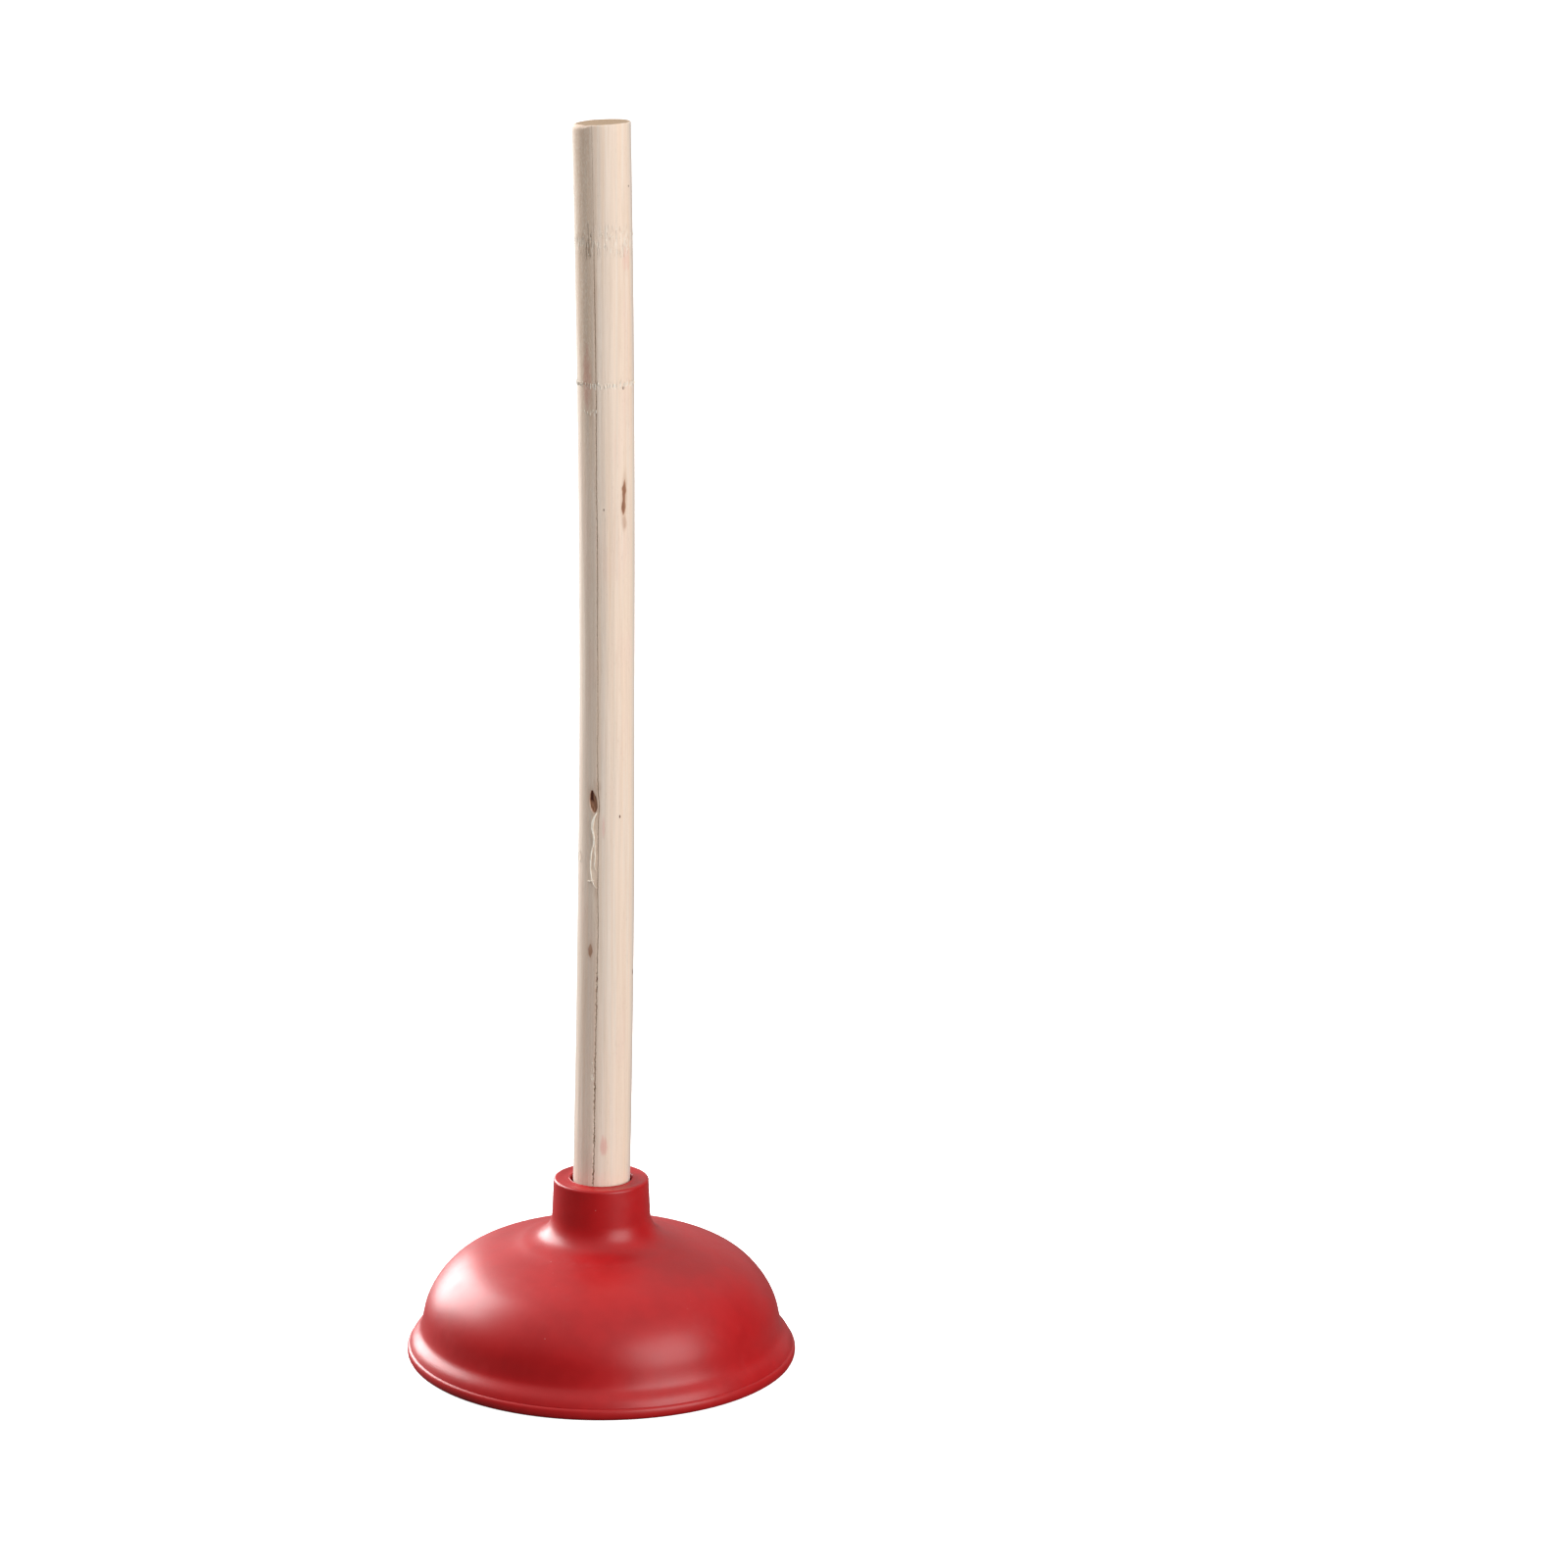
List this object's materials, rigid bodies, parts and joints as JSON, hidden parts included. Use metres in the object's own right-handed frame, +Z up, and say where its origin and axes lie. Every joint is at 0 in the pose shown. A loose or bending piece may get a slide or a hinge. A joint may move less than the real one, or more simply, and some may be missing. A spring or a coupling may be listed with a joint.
{
  "type": "sink plunger",
  "caption": "Sink plunger: a moulded rubber bell with a flared lip and a socketed neck, screwed from inside to a turned wooden handle; pressing the handle squashes the bell.",
  "frame": {"origin": "middle of the plane that the cup's lip rests on", "axes": "+Z up along the handle, +X towards the side that the handle bows to, +Y the remaining right-handed axis"},
  "size_m": [0.15, 0.15, 0.4731],
  "materials": {
    "red_rubber": "satin moulded rubber",
    "bare_wood": "bare turned wood, unvarnished",
    "plated_steel": "zinc plated"
  },
  "bodies": {
    "cup": {"rubber_cup": "red_rubber"},
    "handle": {"wooden_handle": "bare_wood", "fixing_washer": "plated_steel", "fixing_screw": "plated_steel"}
  },
  "joints": [
    {"name": "cup_stroke", "type": "slide", "parent": "cup", "child": "handle", "axis": [0, 0, 1], "range_m": [-0.02, 0.005], "stiffness_N_per_m": 2000, "deforming": ["rubber_cup"]}
  ]
}
